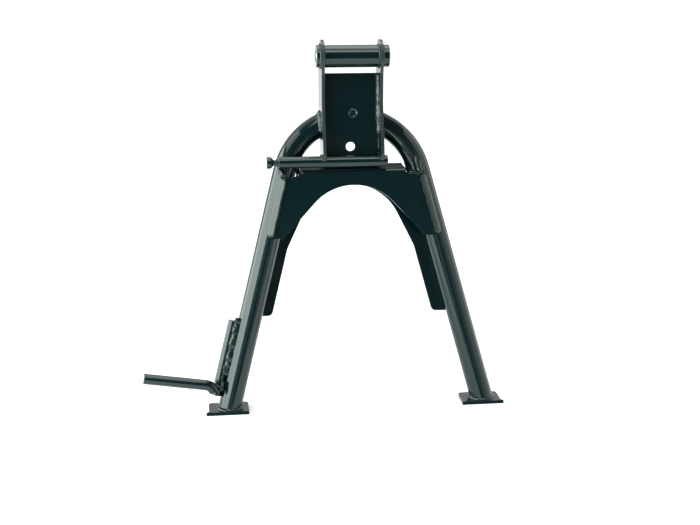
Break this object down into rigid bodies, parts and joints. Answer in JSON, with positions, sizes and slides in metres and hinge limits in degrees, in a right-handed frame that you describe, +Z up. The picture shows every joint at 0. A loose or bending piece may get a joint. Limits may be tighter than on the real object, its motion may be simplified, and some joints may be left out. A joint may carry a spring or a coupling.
{
  "type": "motorcycle centre stand",
  "caption": "Swing-down centre stand: bent tube legs with flat feet, gusset plates, a pivot bracket with its sleeve, a spring bar and post, and a foot pedal.",
  "frame": {"origin": "middle of the pivot sleeve's bore, halfway between the cheeks", "axes": "+X to the motorcycle's right along the pivot, +Y forward, +Z up with the feet flat on the ground"},
  "size_m": [0.4103, 0.1086, 0.408],
  "materials": {
    "black_paint": "gloss black paint over welded steel",
    "painted_weld": "gloss black paint over rippled weld beads",
    "zinc_sleeve": "bright zinc plated steel"
  },
  "bodies": {
    "sleeve": {"pivot_sleeve": "zinc_sleeve"},
    "stand": {"leg_tube": "black_paint", "pivot_tube": "black_paint", "cheek_left": "black_paint", "cheek_right": "black_paint", "web_plate": "black_paint", "front_gusset": "black_paint", "rear_gusset": "black_paint", "spring_bar": "black_paint", "spring_post": "black_paint", "pedal_stem": "black_paint", "pedal_bar": "black_paint", "foot_pad_left": "black_paint", "foot_pad_right": "black_paint", "weld_foot_left": "painted_weld", "weld_foot_right": "painted_weld", "weld_stem": "painted_weld", "weld_pedal": "painted_weld", "weld_shoulder_left": "painted_weld", "weld_shoulder_right": "painted_weld", "weld_web_left": "painted_weld", "weld_web_right": "painted_weld", "weld_front_left": "painted_weld", "weld_front_right": "painted_weld", "weld_rear_left": "painted_weld", "weld_rear_right": "painted_weld"}
  },
  "joints": [
    {"name": "stand_swing", "type": "hinge", "parent": "sleeve", "child": "stand", "pos_m": [0, 0, 0], "axis": [-1, 0, 0], "range_deg": [0, 95]}
  ]
}
